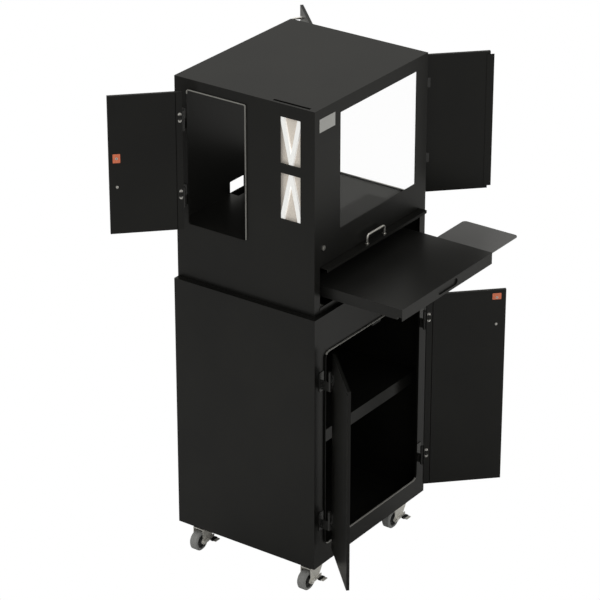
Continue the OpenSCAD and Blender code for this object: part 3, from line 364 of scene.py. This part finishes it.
def bolt_row(name, body, points, direction, radius, height):
    """Domed bolts at the points, all facing one way."""
    mesh = bpy.data.meshes.new(name + "_points")
    mesh.from_pydata([tuple(p) for p in points], [], [])
    obj = bpy.data.objects.new(name + "_points", mesh)
    bpy.context.collection.objects.link(obj)
    modifier = obj.modifiers.new("bolts", "NODES")
    modifier.node_group = bolts
    turn = Vector(direction).to_track_quat("Z", "Y").to_euler()
    set_inputs(modifier, {"Head radius": radius, "Head height": height, "Turn": turn,
                          "Metal": bright_bolts})
    obj.update_tag()
    return applied(obj, name, body)


hinge_length = 0.066
bolt_reach = 0.0105
bolt_offset = 0.0105
hinge_head = (0.0046, 0.0026)   # a hinge bolt's head radius and height
for door in door_names:
    low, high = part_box(door + "_hinges")
    centres = [high[2] - hinge_length / 4, low[2] + hinge_length / 4]
    heights = [z + s * bolt_offset for z in centres for s in (-1, 1)]
    points = [on_door(door, bolt_reach, door_inner_face, z) for z in heights]
    bolt_row(door + "_hinge_bolts", door, points, -door_axes(door)[2], *hinge_head)


# ---- Orange tags --------------------------------------------------------------------------
# Blank plastic tags under each door handle's upper screw, on the inside of the door.
def rounded_plate(name, centre, across, up, thickness, radius):
    """A thin plate with round corners, from its centre, its two half sides and its
    thickness direction."""
    mesh = bmesh.new()
    side, rise = across.normalized(), up.normalized()
    half_w, half_h = across.length - radius, up.length - radius
    rim = []
    for sx, sy, start in ((1, 1, 0), (-1, 1, 90), (-1, -1, 180), (1, -1, 270)):
        for step in range(7):
            angle = math.radians(start + step * 15)
            rim.append(centre + side * (sx * half_w + radius * math.cos(angle))
                       + rise * (sy * half_h + radius * math.sin(angle)))
    face = mesh.faces.new([mesh.verts.new(p) for p in rim])
    grown = bmesh.ops.extrude_face_region(mesh, geom=[face])
    moved = [v for v in grown["geom"] if isinstance(v, bmesh.types.BMVert)]
    bmesh.ops.translate(mesh, verts=moved, vec=thickness)
    bmesh.ops.recalc_face_normals(mesh, faces=mesh.faces)
    data = bpy.data.meshes.new(name)
    mesh.to_mesh(data)
    mesh.free()
    obj = bpy.data.objects.new(name, data)
    bpy.context.collection.objects.link(obj)
    return obj


tag_orange, *_ = powder_coat("orange_tag_plastic", ("#f48058", "#fb8c68"), 0.5, 1.45)
tag_thickness = 0.0006
screw_inset = 0.007             # a screw's distance from the handle's end
screw_head = (0.0037, 0.0024)   # its head's radius and height
# Half width, half height and shift above the screw for each door's tag.
tags = {
    "upper_left": (0.0118, 0.0148, 0.0),
    "lower_right": (0.0148, 0.0112, 0.004),
    "upper_rear": (0.0118, 0.0148, 0.0),
}
for door, (half_wide, half_high, above) in tags.items():
    low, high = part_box(door + "_handle")
    pin, along, outward = door_axes(door)
    reach = ((Vector(low) + Vector(high)) / 2 - pin).dot(along)
    height = high[2] - screw_inset
    place = on_door(door, reach, door_inner_face - 0.0001, height + above)
    tag = rounded_plate(door + "_tag", place, along * half_wide, Vector((0, 0, half_high)),
                        -outward * tag_thickness, 0.002)
    tag.data.materials.append(tag_orange)
    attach(tag, door)
    screws = [on_door(door, reach, door_inner_face - tag_thickness, z)
              for z in (low[2] + screw_inset, height)]
    bolt_row(door + "_handle_screws", door, screws, -outward, *screw_head)


# ---- Plated fittings ----------------------------------------------------------------------
# Clips, rails, tracks, guides and castor forks are bright zinc plated steel. The castors' top plates are
# given a darker metal as painted shade from the cabinet above them.
zinc = satin_metal("bright_zinc_plate", "#efede7", 0.42, 0.45)
for name in ("shelf_clips", "drawer_rails", "flap_tracks", "flap_carriage", "mouse_guides"):
    finish_node(name, zinc)
# Painted shade: this dark grey stands for the cabinet's shadow on the castors' top plates.
finish_node("caster_plates", satin_metal("plate_with_painted_shade", "#6c6b68", 0.45))
castors = ("front_left", "front_right", "rear_left", "rear_right")
for name in castors:
    finish_node("fork_" + name, zinc)


# ---- Flap and trays -----------------------------------------------------------------------
# Folded steel: the flap in the cabinet's coat, the keyboard tray in a slightly paler black
# and the mouse tray in grey.
finish_node("flap_panel", black_coat)
tray_coat, *_ = powder_coat("black_tray_coat", ("#1c1c1b", "#232322"), 0.34, 1.34)
for name in ("keyboard_tray", "tray_runners"):
    finish_node(name, tray_coat)
grey_coat, *_ = powder_coat("grey_powder_coat", ("#5e5e5e", "#646464"), 0.4, 1.4)
finish_node("mouse_tray", grey_coat)


# ---- Window, label and filters ------------------------------------------------------------
# A clear acrylic pane, a bare grey label sheet, and fibre filter pads under white V-shaped retainer bands.
# The bands' pure white is a painted highlight on the filter, and pads and bands carry a painted glow.
clear = bpy.data.materials.new("clear_acrylic")
clear.use_nodes = True
tree = clear.node_tree
tree.nodes.clear()
through = add_node(tree, "ShaderNodeBsdfTransparent", Color=(1, 1, 1, 1))
sheen = add_node(tree, "ShaderNodeBsdfGlossy", Color=(1, 1, 1, 1), Roughness=0.05)
both = add_node(tree, "ShaderNodeMixShader", [(1, through, 0), (2, sheen, 0)], Fac=0.02)
add_node(tree, "ShaderNodeOutputMaterial", [("Surface", both, 0)])
finish_node("window_pane", clear)
label_grey, *_ = powder_coat("grey_label_sheet", ("#b6b6b4", "#c2c2c0"), 0.5, 1.45)
finish_node("label_plate", label_grey)
# Painted highlight and glow: the white V bands stand for the light on the filter, and their emission is a
# painted glow.
v_band_highlight_white, tree, shader, tone = powder_coat("white_bands_painted_highlight", ("#f8f8f7", "#fdfdfc"), 0.5, 1.45)
shader.inputs["Emission Color"].default_value = (1, 1, 1, 1)
shader.inputs["Emission Strength"].default_value = 0.3
finish_node("filter_retainers", v_band_highlight_white)
# The pads' emission is a painted glow.
pad_fibre, tree, shader = principled("fibre_filter_pad", Roughness=0.95, Emission_Strength=0.12,
                                     Emission_Color=linear("#dcd3c8"))
place = add_node(tree, "ShaderNodeTexCoord")
strands = add_node(tree, "ShaderNodeTexNoise", [("Vector", place, "Object")],
                   Scale=260.0, Detail=6.0, Roughness=0.75)
tone = add_node(tree, "ShaderNodeValToRGB", [("Fac", strands, "Fac")])
tone.color_ramp.elements[0].position = 0.35
tone.color_ramp.elements[0].color = linear("#e2d9cf")
tone.color_ramp.elements[1].position = 0.65
tone.color_ramp.elements[1].color = linear("#f4ece3")
tree.links.new(tone.outputs["Color"], shader.inputs["Base Color"])
finish_node("filter_pads", pad_fibre)


# ---- Castors ------------------------------------------------------------------------------
# Grey rubber treads on dark plastic cores, with zinc plated brake levers.
tread_rubber, *_ = powder_coat("grey_tread_rubber", ("#8f9090", "#a4a5a4"), 0.6, 1.4)
core_plastic, *_ = powder_coat("dark_polypropylene", ("#3f4040", "#4b4c4c"), 0.45, 1.45)
for name in castors:
    finish_node("tyre_" + name, tread_rubber)
    finish_node("wheel_" + name, core_plastic)
    finish_node("lever_" + name, zinc)

# A black grip round the root of each brake lever's tab.
tab_length, tab_reach, tab_rise = 0.024, 0.026, 0.0015
grip_height, grip_half_depth, grip_past_tab = 0.0048, 0.006, 0.0012
grip_share = 0.62   # how far along the tab's reach the grip's middle lies
for name in castors:
    low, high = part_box("lever_" + name)
    middle = Vector((high[0] - tab_length / 2, low[1] + tab_reach * grip_share, low[2] + tab_rise))
    grip = rounded_plate("grip_" + name, middle - Vector((0, 0, grip_height / 2)),
                         Vector((tab_length / 2 + grip_past_tab, 0, 0)),
                         Vector((0, grip_half_depth, 0)), Vector((0, 0, grip_height)), 0.002)
    grip.data.materials.append(foam)
    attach(grip, "lever_" + name)
